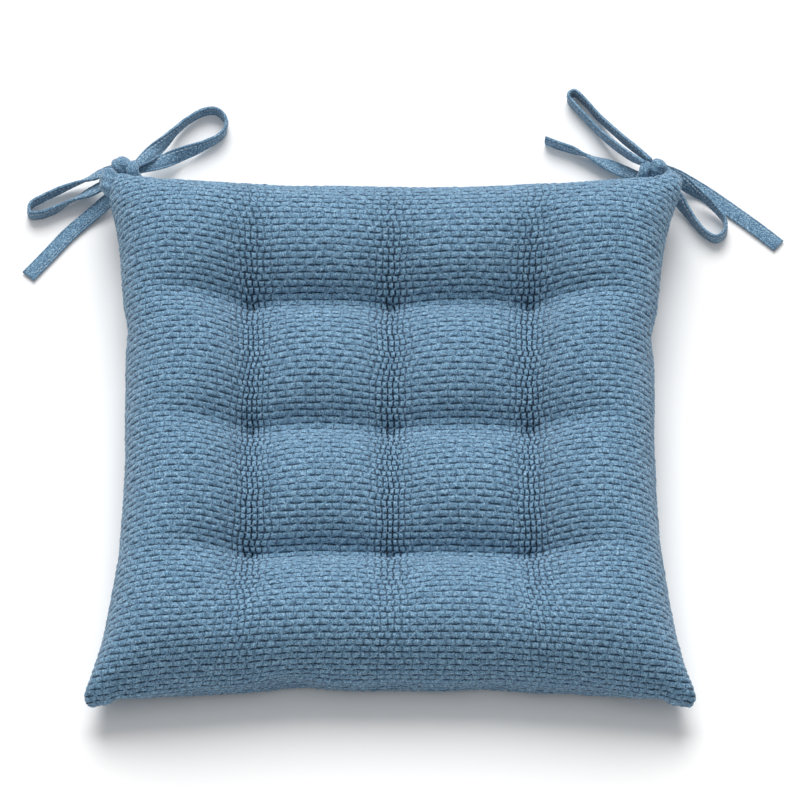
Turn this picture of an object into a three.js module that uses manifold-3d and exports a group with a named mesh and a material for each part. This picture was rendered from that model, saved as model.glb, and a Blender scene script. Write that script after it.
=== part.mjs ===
// A tufted chair seat pad: two fabric panels sewn together round their edge, filled with fibre, pulled
// in by nine tuft stitches, with a pair of fabric ties knotted into a bow at each back corner.
// Millimetres, +Z up. The origin is on the floor under the middle of the pad, and -Y is its front.
import * as THREE from 'three';
import { mergeVertices } from 'three/addons/utils/BufferGeometryUtils.js';
import Module from 'manifold-3d';

// ---- driving dimensions ----
const sideWaist = 187;          // half the width at the middle of the side edges
const endWaist = 193;           // half the depth at the middle of the front and back edges
const frontCornerReach = { x: 24, y: 13 };   // how far a corner stands out past the waists
const backCornerReach = { x: 14, y: 6 };
const cornerSweep = 3;          // how late along an edge it swings out to the corner
const tuftPitch = 97;
const tuftCount = 3;            // tufts in a row, and rows
const seamHeight = 30;          // of the edge seam above the floor
const edgeRoll = 38;            // width of the rounded edge, seen from above
const topCrest = 36;            // heights of the upper panel, from the seam
const topValley = 17;           // half way between two tufts
const topTuft = 3;
const bottomCrest = 34;         // depths of the lower panel, from the seam; the floor flattens its crests
const bottomValley = 25;
const bottomTuft = 16;
const pillowPower = 0.8;        // below 1 makes the pillows fuller and the valleys sharper
const clothThickness = 1.2;
const seamGap = 0.4;            // between the two panels' edges
const layerGap = 0.5;           // between cloth, fibre and thread
const seamThread = 0.9;         // diameter
const seamClearance = 2.0;      // between the seam's thread and the cloth outside it
const emptyCorner = 14;         // how far the fibre stays out of the corners' tips
const closingLength = 90;       // the gap in the back seam that the fibre goes in through
const tuftThread = 1.4;         // diameter of the bundle of thread through the pad
const tuftHead = { radius: 2.6, height: 1.0, lift: 2.6 };   // lift clears the pit's sides
const strapWidth = 10.5;
const strapThickness = 2.2;
const floorGap = 0.3;           // least height of a strap's lowest edge
const touchGap = 0.35;          // between pieces that touch
const knotSize = { x: 19, y: 17, z: 15 };
const knotBite = 0.3;           // how much of its last step a strand runs on into the knot, which cuts it off

// ---- materials ----
const chenille = new THREE.MeshStandardMaterial({ color: 0x5f87ac, roughness: 0.95, metalness: 0 });
const fibre = new THREE.MeshStandardMaterial({ color: 0xf2f1ee, roughness: 1, metalness: 0 });
const thread = new THREE.MeshStandardMaterial({ color: 0x4f7396, roughness: 0.8, metalness: 0 });
const strapCloth = new THREE.MeshStandardMaterial({ color: 0x56799c, roughness: 0.95, metalness: 0 });

// ---- the pad's shape ----
const cellsToTuft = 5;
const cellsToEdge = 7;

const frontCorner = { x: sideWaist + frontCornerReach.x, y: endWaist + frontCornerReach.y };
const backCorner = { x: sideWaist + backCornerReach.x, y: endWaist + backCornerReach.y };

// Half the width of the pad at v, and half its depth at u; u and v run from -1 to 1.
function halfWidth(v) {
  const corner = v < 0 ? frontCorner.x : backCorner.x;
  return sideWaist + (corner - sideWaist) * Math.abs(v) ** cornerSweep;
}

function halfDepth(u, v) {
  const corner = v < 0 ? frontCorner.y : backCorner.y;
  return endWaist + (corner - endWaist) * Math.abs(u) ** cornerSweep;
}

// 0 on a tuft line, rising to 1 half a pitch away from it. t is a distance from the middle line.
function awayFromTufts(t) {
  const reach = (tuftCount - 1) / 2;
  const nearest = Math.max(-reach, Math.min(reach, Math.round(t / tuftPitch)));
  const away = Math.min(1, Math.abs(t / tuftPitch - nearest) * 2);
  return Math.sin((away * Math.PI) / 2) ** pillowPower;
}

// Height of a tufted panel from the seam, before its edges roll in.
function pillow(x, y, crest, valley, tuft) {
  const a = awayFromTufts(x);
  const b = awayFromTufts(y);
  return tuft + (valley - tuft) * (a + b) + (crest + tuft - 2 * valley) * a * b;
}

// 1 over the pad, falling to 0 along a quarter ellipse at its edge.
function roll(t, half) {
  const over = Math.max(0, (Math.abs(t) * half - (half - edgeRoll)) / edgeRoll);
  return Math.sqrt(Math.max(0, 1 - over * over));
}

// A point of a panel's surface, moved in by inset. up is 1 on the upper panel and -1 on the lower one.
// The odd power keeps the tufts of every layer on one line, and moves the edges in by the whole inset.
function panelPoint(u, v, up, inset, gap) {
  const x = u * halfWidth(v) - inset * u ** 5;
  const y = v * halfDepth(u, v) - inset * v ** 5;
  const height = up > 0
    ? pillow(u * sideWaist, v * endWaist, topCrest, topValley, topTuft)
    : Math.min(seamHeight, pillow(u * sideWaist, v * endWaist, bottomCrest, bottomValley, bottomTuft));
  const rolled = (height - inset) * roll(u, sideWaist) * roll(v, endWaist);
  return new THREE.Vector3(x, y, seamHeight + up * (gap / 2 + Math.max(0, rolled - gap / 2)));
}

// Grid lines from the middle to the edge: one falls on each tuft, and they crowd together at the edge.
function stations(half) {
  const tuftLine = tuftPitch / half;
  const inner = Array.from({ length: cellsToTuft }, (_, i) => (tuftLine * i) / cellsToTuft);
  const outer = Array.from({ length: cellsToEdge + 1 }, (_, i) =>
    tuftLine + (1 - tuftLine) * Math.sin((i / cellsToEdge) * (Math.PI / 2)));
  const side = [...inner, ...outer];
  return [...side.slice(1).reverse().map((t) => -t), ...side];
}

const columns = stations(sideWaist);
const rows = stations(endWaist);

// Two grids that share their outline's order, joined round their edges into one closed body.
function closedGrids(upperPoint, lowerPoint) {
  const points = [];
  const faces = [];
  const nx = columns.length;
  const ny = rows.length;
  for (const point of [upperPoint, lowerPoint]) {
    for (const v of rows) for (const u of columns) points.push(point(u, v));
  }
  const at = (i, j, layer) => layer * nx * ny + j * nx + i;
  for (let j = 0; j < ny - 1; j += 1) {
    for (let i = 0; i < nx - 1; i += 1) {
      faces.push(at(i, j, 0), at(i + 1, j, 0), at(i + 1, j + 1, 0));
      faces.push(at(i, j, 0), at(i + 1, j + 1, 0), at(i, j + 1, 0));
      faces.push(at(i, j, 1), at(i + 1, j + 1, 1), at(i + 1, j, 1));
      faces.push(at(i, j, 1), at(i, j + 1, 1), at(i + 1, j + 1, 1));
    }
  }
  const rim = [];
  for (let i = 0; i < nx - 1; i += 1) rim.push([i, 0]);
  for (let j = 0; j < ny - 1; j += 1) rim.push([nx - 1, j]);
  for (let i = nx - 1; i > 0; i -= 1) rim.push([i, ny - 1]);
  for (let j = ny - 1; j > 0; j -= 1) rim.push([0, j]);
  rim.forEach(([i, j], k) => {
    const [p, q] = rim[(k + 1) % rim.length];
    faces.push(at(i, j, 1), at(p, q, 1), at(p, q, 0));
    faces.push(at(i, j, 1), at(p, q, 0), at(i, j, 0));
  });
  const geometry = new THREE.BufferGeometry().setFromPoints(points);
  geometry.setIndex(faces);
  return geometry;
}

// ---- booleans ----
const wasm = await Module();
wasm.setup();

function toSolid(geometry) {
  const bare = geometry.clone();
  bare.deleteAttribute('normal');
  bare.deleteAttribute('uv');
  const merged = mergeVertices(bare, 1e-3);
  return new wasm.Manifold(new wasm.Mesh({
    numProp: 3,
    vertProperties: new Float32Array(merged.attributes.position.array),
    triVerts: new Uint32Array(merged.index.array),
  }));
}

function toGeometry(solid) {
  const mesh = solid.getMesh();
  const geometry = new THREE.BufferGeometry();
  geometry.setAttribute('position', new THREE.BufferAttribute(mesh.vertProperties, 3));
  geometry.setIndex(new THREE.BufferAttribute(mesh.triVerts, 1));
  geometry.computeVertexNormals();
  return geometry;
}

// ---- tufts ----
const tufts = [];
for (let row = 0; row < tuftCount; row += 1) {
  for (let column = 0; column < tuftCount; column += 1) {
    const u = ((column - (tuftCount - 1) / 2) * tuftPitch) / sideWaist;
    const v = (((tuftCount - 1) / 2 - row) * tuftPitch) / endWaist;
    tufts.push({
      name: `tuft_stitch_r${row + 1}_c${column + 1}`,
      top: panelPoint(u, v, 1, 0, seamGap),
      bottom: panelPoint(u, v, -1, 0, seamGap),
    });
  }
}

// The hole that a tuft's thread goes through, right through the pad.
function needleHole({ top }) {
  const radius = tuftThread / 2 + layerGap;
  const hole = new THREE.CylinderGeometry(radius, radius, 4 * seamHeight, 8).rotateX(Math.PI / 2);
  return toSolid(hole.translate(top.x, top.y, seamHeight));
}

function pierced(geometry) {
  return toGeometry(tufts.reduce((solid, tuft) => solid.subtract(needleHole(tuft)), toSolid(geometry)));
}

// Thread through the pad with a knot of stitches on each face, standing just off the cloth.
function tuftStitch({ top, bottom }) {
  const low = bottom.z - tuftHead.lift;
  const high = top.z + tuftHead.lift;
  const shaft = tuftThread / 2;
  const profile = [
    [0, low - tuftHead.height], [tuftHead.radius, low - tuftHead.height], [tuftHead.radius, low],
    [shaft, low], [shaft, high], [tuftHead.radius, high],
    [tuftHead.radius * 0.7, high + tuftHead.height], [0, high + tuftHead.height],
  ].map(([r, z]) => new THREE.Vector2(r, z));
  return new THREE.LatheGeometry(profile, 8).rotateX(Math.PI / 2).translate(top.x, top.y, 0);
}

// ---- edge seam ----
// The thread lies just inside the cloth, between the two panels. It starts and ends at the closing gap.
const threadInset = clothThickness + seamClearance + seamThread / 2;
const fillInset = threadInset + seamThread / 2 + layerGap;

function seamPoint(u, v) {
  const x = u * (halfWidth(v) - threadInset);
  const y = v * (halfDepth(u, v) - threadInset);
  return new THREE.Vector3(x, y, seamHeight);
}

function line(from, to, count) {
  return Array.from({ length: count }, (_, i) =>
    seamPoint(...from.map((start, k) => start + ((to[k] - start) * i) / (count - 1))));
}

function threadTube(points, steps) {
  const path = new THREE.CatmullRomCurve3(points, false, 'centripetal');
  const section = new THREE.Shape(
    new THREE.EllipseCurve(0, 0, seamThread / 2, seamThread / 2).getPoints(6).slice(0, 6));
  return new THREE.ExtrudeGeometry(section, { extrudePath: path, steps });
}

function seamThreads() {
  const gap = closingLength / 2 / sideWaist;
  const end = gap + (seamThread + touchGap) / sideWaist;
  const turn = 0.985;           // the seam turns the corner in a small curve
  const main = [
    ...line([end, 1], [turn, 1], 8), ...line([1, turn], [1, -turn], 15),
    ...line([turn, -1], [-turn, -1], 15), ...line([-1, -turn], [-1, turn], 15),
    ...line([-turn, 1], [-end, 1], 8),
  ];
  return { main: threadTube(main, 110), closing: threadTube(line([-gap, 1], [gap, 1], 5), 8) };
}

// ---- ties ----
// Places are measured from the back corner that the tie is sewn to, and from the floor. A strand's points
// are x, y, z and lean: 0 lies flat, 90 stands on its edge, 180 lies face down.
const ties = {
  left: {
    knot: [15.5, 13, 21],
    strands: {
      root: [[-2.4, 1.5, 30, 90], [-0.2, 5.8, 29.4, 60], [7, 9.8, 27.9, 30]],
      loop_back: [[24.5, 20, 24, 0], [32, 30, 18, 20], [41, 42, 12, 60], [50, 54, 8, 85],
        [59, 63.5, 6.5, 90], [69, 70, 6, 90], [78.5, 70.5, 6, 90], [85, 64, 6, 90], [84.5, 55.5, 6, 90],
        [78.5, 48.5, 6, 90], [69.5, 43, 6.5, 100], [55, 36, 8, 130], [41, 27.5, 11.5, 165],
        [26.5, 18.5, 17.5, 180]],
      loop_side: [[5, 15.5, 22.5, 0], [-5, 15, 15, 30], [-17, 12.5, 9, 70], [-31, 7.5, 6.5, 88],
        [-44, 1, 6, 90], [-52.5, -5.5, 6, 90], [-52.5, -12, 6, 90], [-45, -12, 6, 90],
        [-34, -7.5, 6, 92], [-23, -1.5, 7, 110], [-10, 4, 10, 150], [4, 9.5, 15.5, 180]],
      tail_front: [[11, 6.2, 13.6, 0], [5, 0.7, 9, 0], [-3, -5.8, 5.2, 0], [-12.5, -13.5, 2.8, 0],
        [-25.5, -26, 1.8, 0], [-39, -42, 1.8, 0], [-53.5, -59, 1.8, 0]],
      tail_under: [[20.5, 4.5, 13, 20], [29, 1, 9, 30], [41, 0, 5, 30], [57, 0, 3.5, 10],
        [75, -1, 1.8, 0], [95, 0, 1.8, 0]],
    },
  },
  right: {
    knot: [-15, 14, 20],
    strands: {
      root: [[2.4, 1.5, 30, 90], [0.2, 5.8, 29.6, 60], [-7, 9.6, 28.3, 30]],
      loop_back: [[-21, 24.5, 24, 90], [-30, 36, 18, 90], [-40, 49, 11, 90], [-52, 64, 6.5, 90],
        [-64, 79, 6, 90], [-71, 85.5, 6, 90], [-75, 82.5, 6, 90], [-70, 74, 6, 90], [-57, 58, 6.5, 90],
        [-45, 43, 11, 90], [-34, 30, 18, 90], [-25.5, 21.5, 24, 90]],
      loop_side: [[-3.8, 13.5, 21.5, 0], [4.5, 9, 16.5, 30], [12.5, 4, 13, 65], [20, -1, 11.2, 85],
        [28.5, -8.5, 8, 90], [34.5, -17, 6.5, 90], [35, -25.5, 6, 90], [29, -31.5, 6, 90],
        [22, -28, 6, 90], [14, -18.5, 6, 95], [6.5, -7.5, 6.5, 110], [-1, 2.5, 9, 140],
        [-9.5, 6.5, 10, 170]],
      tail_side: [[-4.5, 17.5, 16, 0], [5, 14.5, 9.5, 0], [16, 10, 4.2, 0], [29.5, 1, 2, 0],
        [43.5, -10, 1.8, 0], [58, -22, 1.8, 0], [72.5, -34.5, 1.8, 0]],
      tail_back: [[-24, 14.5, 13, 20], [-35, 20.5, 8.5, 10], [-47.5, 27.5, 7, 20], [-60.5, 34.5, 6, 60],
        [-72, 39.5, 6, 88], [-82, 43.5, 6, 90], [-91.5, 47.5, 6, 90]],
    },
  },
};

// A flat strap: a long box whose cross-sections are carried along the route and leaned over.
function strap(route) {
  const curve = new THREE.CatmullRomCurve3(
    route.map(([x, y, z]) => new THREE.Vector3(x, y, z)), false, 'centripetal');
  const steps = Math.max(3, 2 * (route.length - 1));
  const geometry = new THREE.BoxGeometry(strapWidth, strapThickness, 1, 1, 1, steps);
  const position = geometry.attributes.position;
  const up = new THREE.Vector3(0, 0, 1);
  for (let i = 0; i < position.count; i += 1) {
    const t = position.getZ(i) + 0.5;
    const place = t * (route.length - 1);
    const before = Math.min(route.length - 2, Math.floor(place));
    const lean = THREE.MathUtils.degToRad(
      THREE.MathUtils.lerp(route[before][3], route[before + 1][3], place - before));
    const along = curve.getTangent(t);
    const flatFace = up.clone().addScaledVector(along, -up.dot(along)).normalize();
    const face = flatFace.applyAxisAngle(along, lean);
    const across = new THREE.Vector3().crossVectors(face, along);
    const reach = (strapWidth * Math.abs(Math.sin(lean)) + strapThickness * Math.abs(Math.cos(lean))) / 2;
    const point = curve.getPoint(t);
    point.z = Math.max(point.z, reach + floorGap);
    point.addScaledVector(across, position.getX(i)).addScaledVector(face, position.getY(i));
    position.setXYZ(i, point.x, point.y, point.z);
  }
  return geometry;
}

function knot([x, y, z], grown = 0) {
  const size = ['x', 'y', 'z'].map((axis) => knotSize[axis] + 2 * grown);
  return new THREE.SphereGeometry(0.5, 10, 8).scale(...size).translate(x, y, z);
}

// A strand runs on into the knot, and is cut off just short of it.
function strand(name, route, centre) {
  const runOn = (end, before) =>
    [...[0, 1, 2].map((k) => end[k] + (end[k] - before[k]) * knotBite), end[3]];
  const starts = name === 'root' ? route : [runOn(route[0], route[1]), ...route];
  const bothEnds = name === 'root' || name.startsWith('loop');
  const whole = bothEnds ? [...starts, runOn(route.at(-1), route.at(-2))] : starts;
  return toGeometry(toSolid(strap(whole)).subtract(toSolid(knot(centre, touchGap))));
}

// ---- assembly ----
const object = new THREE.Group();
object.position.y = (frontCorner.y - backCorner.y) / 2;   // puts the middle of the box on the origin

function add(name, geometry, material, parent = object) {
  const mesh = new THREE.Mesh(geometry, material);
  mesh.name = name;
  parent.add(mesh);
}

function panel(up) {
  const outer = (u, v) => panelPoint(u, v, up, 0, seamGap);
  const inner = (u, v) => panelPoint(u, v, up, clothThickness, seamGap);
  return pierced(up > 0 ? closedGrids(outer, inner) : closedGrids(inner, outer));
}

function filling() {
  const inset = (u, v) => fillInset + emptyCorner * Math.abs(u * v) ** 6;
  const half = (up) => (u, v) => panelPoint(u, v, up, inset(u, v), seamThread);
  return pierced(closedGrids(half(1), half(-1)));
}

const seams = seamThreads();
add('top_panel', panel(1), chenille);
add('bottom_panel', panel(-1), chenille);
add('fibre_filling', filling(), fibre);
add('edge_seam_thread', seams.main, thread);
add('closing_seam_thread', seams.closing, thread);
for (const tuft of tufts) add(tuft.name, tuftStitch(tuft), thread);
for (const [side, tie] of Object.entries(ties)) {
  const corner = new THREE.Group();
  corner.position.set(side === 'left' ? -backCorner.x : backCorner.x, backCorner.y, 0);
  object.add(corner);
  add(`${side}_tie_knot`, knot(tie.knot), strapCloth, corner);
  for (const [name, route] of Object.entries(tie.strands)) {
    add(`${side}_tie_${name}`, strand(name, route, tie.knot), strapCloth, corner);
  }
}

export default object;
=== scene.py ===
"""A tufted chair seat pad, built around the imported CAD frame.

Two panels of raised waffle chenille are relaxed as one sewn, filled cover by a small cloth solver, and then
given their weave as real relief. The ties are flat straps along the CAD model's own routes. Metres, +Z up.
"""

import math

import bpy
import numpy as np
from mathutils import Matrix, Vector


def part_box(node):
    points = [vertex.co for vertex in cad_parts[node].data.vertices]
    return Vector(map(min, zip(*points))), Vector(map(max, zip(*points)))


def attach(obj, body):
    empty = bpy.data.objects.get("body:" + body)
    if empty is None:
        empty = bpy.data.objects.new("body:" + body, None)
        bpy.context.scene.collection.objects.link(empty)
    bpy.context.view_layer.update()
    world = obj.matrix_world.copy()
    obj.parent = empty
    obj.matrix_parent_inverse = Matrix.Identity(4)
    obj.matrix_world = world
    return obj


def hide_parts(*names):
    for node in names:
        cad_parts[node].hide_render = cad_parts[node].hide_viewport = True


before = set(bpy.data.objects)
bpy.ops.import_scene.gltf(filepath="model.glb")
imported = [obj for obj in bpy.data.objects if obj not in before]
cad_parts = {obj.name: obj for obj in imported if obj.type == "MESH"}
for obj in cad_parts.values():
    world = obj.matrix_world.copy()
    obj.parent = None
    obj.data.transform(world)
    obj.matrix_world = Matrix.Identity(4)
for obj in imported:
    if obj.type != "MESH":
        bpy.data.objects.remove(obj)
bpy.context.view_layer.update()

MM = 0.001
rng = np.random.default_rng(12)

# ---- sizes taken from the frame ----
TUFTS = {(r, c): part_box(f"tuft_stitch_r{r}_c{c}") for r in (1, 2, 3) for c in (1, 2, 3)}


def middle(box):
    return (np.array(box[0]) + np.array(box[1])) / 2


CENTRE = middle(TUFTS[2, 2])                  # the middle tuft
PITCH = middle(TUFTS[2, 3])[0] - CENTRE[0]    # between tufts
PANEL_LOW, PANEL_HIGH = (np.array(corner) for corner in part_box("top_panel"))
SEAM_Z = middle(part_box("edge_seam_thread"))[2]  # the CAD seam's height
SEAM_SAG = 7 * MM                             # how far the seam drops between the corners
BACK_LIFT = 8 * MM                            # how far the ties draw up the back corners
FRONT_DROOP = 8 * MM                          # how far the front corners hang
EAR = 6 * MM                                  # how far the cloth's corners reach past the CAD model's
LEFT_EAR, RIGHT_EAR = -1 * MM, 7 * MM         # the same at the sides of the back corners
EAR_ROUND = 5 * MM                            # and how far each is rounded off again
EAR_PUFF = 2.8 * MM                           # extra thickness of the folded cloth in the corners
TUFT_TOP_Z = TUFTS[2, 2][1][2] - 3.6 * MM     # the pit's cloth lies under the stitch
TUFT_BOTTOM_Z = TUFTS[2, 2][0][2] + 3.6 * MM
BACK_CORNER_X = 201 * MM                      # of the CAD model's back corners
SIDE_WAIST = 184.5 * MM                       # the seam's half width at the middle of the sides
FRONT_WAIST, BACK_WAIST = 194 * MM, 198 * MM  # its half depth at the middle of the front and the back
FRONT_SWEEP, BACK_SWEEP = 2.4, 3.4            # how suddenly the sides turn out to the corners
END_SWEEP = 3.0                               # the same for the front and back edges

# ---- the cover as it was cut and sewn ----
STITCH = 4.4 * MM                             # grid spacing of the fine cloth solution
TUFT_CELLS = 24                               # grid cells from the middle to a tuft, on the flat cover
EDGE_CELLS = 28                               # from there to the seam
HALF_CELLS = TUFT_CELLS + EDGE_CELLS
FLAT_HALF = HALF_CELLS * STITCH               # half a side of the flat cover
TUFT_SHARE = TUFT_CELLS / HALF_CELLS
GIVE = 0.92                                   # the cloth's length at rest, as a share of its cut length
STRETCH, SQUEEZE = 0.45, 0.25                 # how much of a wrong length each pass puts right
SHEAR = 0.15                                  # the same for a cell's diagonals, too long or too short
LOOPS = 8                                     # passes over the cloth's lengths at each step
DAMPING = 0.90                                # share of its motion that the cloth keeps at each step
SEAM_HOLD = 0.06                              # share of its way to its plan that the seam goes in a pass
FURROW_PASSES = 7                             # of smoothing across the furrows between columns
PRESSURE = 0.17 * MM                          # of the filling, as a push at each step
# Furrows along the lines of tufts: rise between the tufts and out to the edge, in mm, how firmly each part
# is held, and how fast the furrow's sides may rise, in mm per square mm.
FRONT_ROW = (3, 30, 0.9, 0.10, 0.35)
MIDDLE_ROW = (9, 30, 0.3, 0.06, 0.08)
BACK_ROW = (8, 28, 0.9, 0.16, 0.35)
COLUMN = (13, 28, 0.2, 0.05, 0.05)
UNDER = (9, 12, 0.3, 0.05, 0.1)               # every furrow of the lower panel
UNDER_TUCK = 1.5 * MM                         # how far the lower panel stays inside the seam
UNDER_PRESSURE = 0.45                         # on the lower panel, which the pad's weight presses flat

# ---- weave ----
COLUMNS, ROWS = 77, 95                        # waffle cells across and along the cover
TUFT_COLUMN = COLUMNS / 2 * TUFT_SHARE        # waffle cells from the middle to a tuft
TUFT_ROW = ROWS / 2 * TUFT_SHARE
GAP_DEPTH = 1.15 * MM                         # of the furrows between rows of cells
SLOT_DEPTH = 0.66 * MM                        # between the cells of a row
BRIDGE_WIDTH = 0.34                           # of the yarn that crosses a furrow, in cells
CELL_ROUND = 3.2                              # power of a cell's rounding: more is flatter on top
PINCH_REACH = 4.5                             # cells beside a line of tufts where slots are deeper
PINCH_FADE = 26                               # cells over which that ends, past the outer tufts
FUZZ = 0.07 * MM                              # roughness of the yarn
# Where an edge is drawn in: place along it in metres, then depth and width in millimetres.
PUCKERS = {
    "back": [(-0.078, 4, 8), (-0.004, 4, 7), (0.0196, 10, 7), (0.064, 6, 8), (0.13, 3, 9)],
    "front": [(-0.071, 10, 9), (0.005, 3, 9), (0.076, 7, 8), (0.14, 2.5, 9)],
    "left": [(0.086, 6, 8), (-0.02, 2, 9), (-0.10, 3, 9)],
    "right": [(0.080, 8, 8), (0.0, 3, 9), (-0.09, 2, 9)],
}

# ---- ties ----
STRAP_WIDTH = 10.5 * MM
STRAP_THICKNESS = 2.2 * MM
STITCH_LINE = STRAP_WIDTH / 2 - 2.3 * MM      # its top stitching, from its middle line
STITCH_PITCH = 3.0 * MM
STITCH_LENGTH = 0.68 * STITCH_PITCH
STITCH_RADIUS = 0.45 * MM
RIDGE, RIDGE_PITCH = 0.30 * MM, 2.5 * MM      # height and spacing of its lengthwise ridges
FLOOR_GAP = 0.3 * MM
KNOT_BITE = 7.0                               # mm that a strand is drawn into its knot
KNOT_NARROWING = 0.50                         # share of its width that it loses there
NARROW_REACH = 9 * MM                         # and how far out from the knot
# Millimetres from the back corner that the tie is sewn to, and from the floor: x, y, z and lean in degrees.
TIES = {
    "left": {
        "knot": [15.5, 13, 21],
        "root": [[-2.4, 1.5, 30, 90], [-0.2, 5.8, 29.4, 60], [7, 9.8, 27.9, 30]],
        "loop_back": [
            [24.5, 20, 24, 0], [32, 30, 18, 20], [41, 42, 12, 60], [50, 54, 8, 85], [59, 63.5, 6.5, 90],
            [69, 70, 6, 90], [78.5, 70.5, 6, 90], [85, 64, 6, 90], [84.5, 55.5, 6, 90], [78.5, 48.5, 6, 90],
            [69.5, 43, 6.5, 100], [55, 36, 8, 130], [41, 27.5, 11.5, 165], [26.5, 18.5, 17.5, 180]],
        "loop_side": [
            [5, 15.5, 22.5, 0], [-5, 15, 15, 30], [-17, 12.5, 9, 70], [-31, 7.5, 6.5, 88], [-44, 1, 6, 90],
            [-52.5, -5.5, 6, 90], [-52.5, -12, 6, 90], [-45, -12, 6, 90], [-34, -7.5, 6, 92],
            [-23, -1.5, 7, 110], [-10, 4, 10, 150], [4, 9.5, 15.5, 180]],
        "tail_front": [
            [11, 6.2, 13.6, 0], [5, 0.7, 9, 0], [-3, -5.8, 5.2, 0], [-12.5, -13.5, 2.8, 0],
            [-25.5, -26, 1.8, 0], [-39, -42, 1.8, 0], [-53.5, -59, 1.8, 0]],
        "tail_under": [
            [20.5, 4.5, 13, 20], [29, 1, 9, 30], [41, 0, 5, 30], [57, 0, 3.5, 10], [75, -1, 1.8, 0],
            [95, 0, 1.8, 0]],
    },
    "right": {
        "knot": [-15, 14, 20],
        "root": [[2.4, 1.5, 30, 90], [0.2, 5.8, 29.6, 60], [-7, 9.6, 28.3, 30]],
        "loop_back": [
            [-21, 24.5, 24, 90], [-30, 36, 18, 90], [-40, 49, 11, 90], [-52, 64, 6.5, 90], [-64, 79, 6, 90],
            [-71, 85.5, 6, 90], [-75, 82.5, 6, 90], [-70, 74, 6, 90], [-57, 58, 6.5, 90], [-45, 43, 11, 90],
            [-34, 30, 18, 90], [-25.5, 21.5, 24, 90]],
        "loop_side": [
            [-3.8, 13.5, 21.5, 0], [4.5, 9, 16.5, 30], [12.5, 4, 13, 65], [20, -1, 11.2, 85],
            [28.5, -8.5, 8, 90], [34.5, -17, 6.5, 90], [35, -25.5, 6, 90], [29, -31.5, 6, 90],
            [22, -28, 6, 90], [14, -18.5, 6, 95], [6.5, -7.5, 6.5, 110], [-1, 2.5, 9, 140],
            [-9.5, 6.5, 10, 170]],
        "tail_side": [
            [-4.5, 17.5, 16, 0], [5, 14.5, 9.5, 0], [16, 10, 4.2, 0], [29.5, 1, 2, 0], [43.5, -10, 1.8, 0],
            [58, -22, 1.8, 0], [72.5, -34.5, 1.8, 0]],
        "tail_back": [
            [-24, 14.5, 13, 20], [-35, 20.5, 8.5, 10], [-47.5, 27.5, 7, 20], [-60.5, 34.5, 6, 60],
            [-72, 39.5, 6, 88], [-82, 43.5, 6, 90], [-91.5, 47.5, 6, 90]],
    },
}

# Each knot's lump and band, in millimetres from the knot's middle, and the way that the band's axis points.
KNOTS = {
    "left": {"lump": (-3.8, 3.4, 4.0), "lump_radii": (7.2, 6.8, 6.6), "band": (4.8, -0.5, 1.0),
             "axis": (1, 0.25, 0.15), "broad": 5.2},
    "right": {"lump": (1.5, 2.4, 3.4), "lump_radii": (7.0, 6.0, 5.6), "band": (-6.0, -0.5, 0.5),
              "axis": (1, -0.4, 0.1), "broad": 4.2},
}
# The left tie's sewn end is gathered over the corner: its middle from the corner, and its half sizes.
GATHER, GATHER_RADII = (3.8, -3.5, 38.5), (7.0, 11.5, 6.5)

# ---- view ----
ELEVATION = math.radians(62.2)
DISTANCE = 16.0                               # far off, as the picture has hardly any perspective
VIEW_WIDTH = 553.1 * MM                       # what the picture takes in at the pad
AIM_RIGHT, AIM_UP = 3.85 * MM, 25.5 * MM      # of the picture's middle from the middle tuft


# ---- studio ----
def make_camera():
    back = Vector((0, -math.cos(ELEVATION), math.sin(ELEVATION)))
    up = Vector((0, math.sin(ELEVATION), math.cos(ELEVATION)))
    tuft = Vector((CENTRE[0], CENTRE[1], TUFT_TOP_Z))
    aim = tuft + Vector((AIM_RIGHT, 0, 0)) + up * AIM_UP
    data = bpy.data.cameras.new("camera")
    data.sensor_width = 36
    data.lens = data.sensor_width * DISTANCE / VIEW_WIDTH
    data.clip_end = 2 * DISTANCE
    camera = bpy.data.objects.new("camera", data)
    camera.location = aim + back * DISTANCE
    camera.rotation_euler = back.to_track_quat("Z", "Y").to_euler()
    bpy.context.scene.collection.objects.link(camera)
    bpy.context.scene.camera = camera


def make_lights():
    world = bpy.data.worlds.new("studio")
    bpy.context.scene.world = world
    world.use_nodes = True
    background = world.node_tree.nodes["Background"]
    background.inputs["Color"].default_value = (1.0, 1.0, 1.0, 1)
    background.inputs["Strength"].default_value = 0.375
    for name, strength, spread, direction in [
        ("key", 3.25, 46, (0.05, -0.80, -0.80)),
        ("top", 0.40, 90, (0.0, 0.1, -1.0)),
    ]:
        light = bpy.data.lights.new(name, "SUN")
        light.energy = strength
        light.angle = math.radians(spread)
        lamp = bpy.data.objects.new(name, light)
        lamp.rotation_euler = Vector(direction).to_track_quat("-Z", "Y").to_euler()
        bpy.context.scene.collection.objects.link(lamp)


def make_floor():
    mesh = bpy.data.meshes.new("floor")
    reach = 6.0
    mesh.from_pydata([(-reach, -reach, 0), (reach, -reach, 0), (reach, reach, 0), (-reach, reach, 0)],
                     [], [(0, 1, 2, 3)])
    floor = bpy.data.objects.new("floor", mesh)
    bpy.context.scene.collection.objects.link(floor)
    material = bpy.data.materials.new("floor")
    material.use_nodes = True
    shader = material.node_tree.nodes["Principled BSDF"]
    shader.inputs["Base Color"].default_value = (0.93, 0.93, 0.93, 1)
    shader.inputs["Roughness"].default_value = 1.0
    shader.inputs["Specular IOR Level"].default_value = 0.0
    mesh.materials.append(material)


# ---- mesh helpers ----
def make_piece(name, points, faces, material):
    mesh = bpy.data.meshes.new(name)
    mesh.from_pydata(np.asarray(points).reshape(-1, 3).tolist(), [], faces)
    mesh.polygons.foreach_set("use_smooth", [True] * len(mesh.polygons))
    mesh.materials.append(material)
    piece = bpy.data.objects.new(name, mesh)
    bpy.context.scene.collection.objects.link(piece)
    return piece


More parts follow.
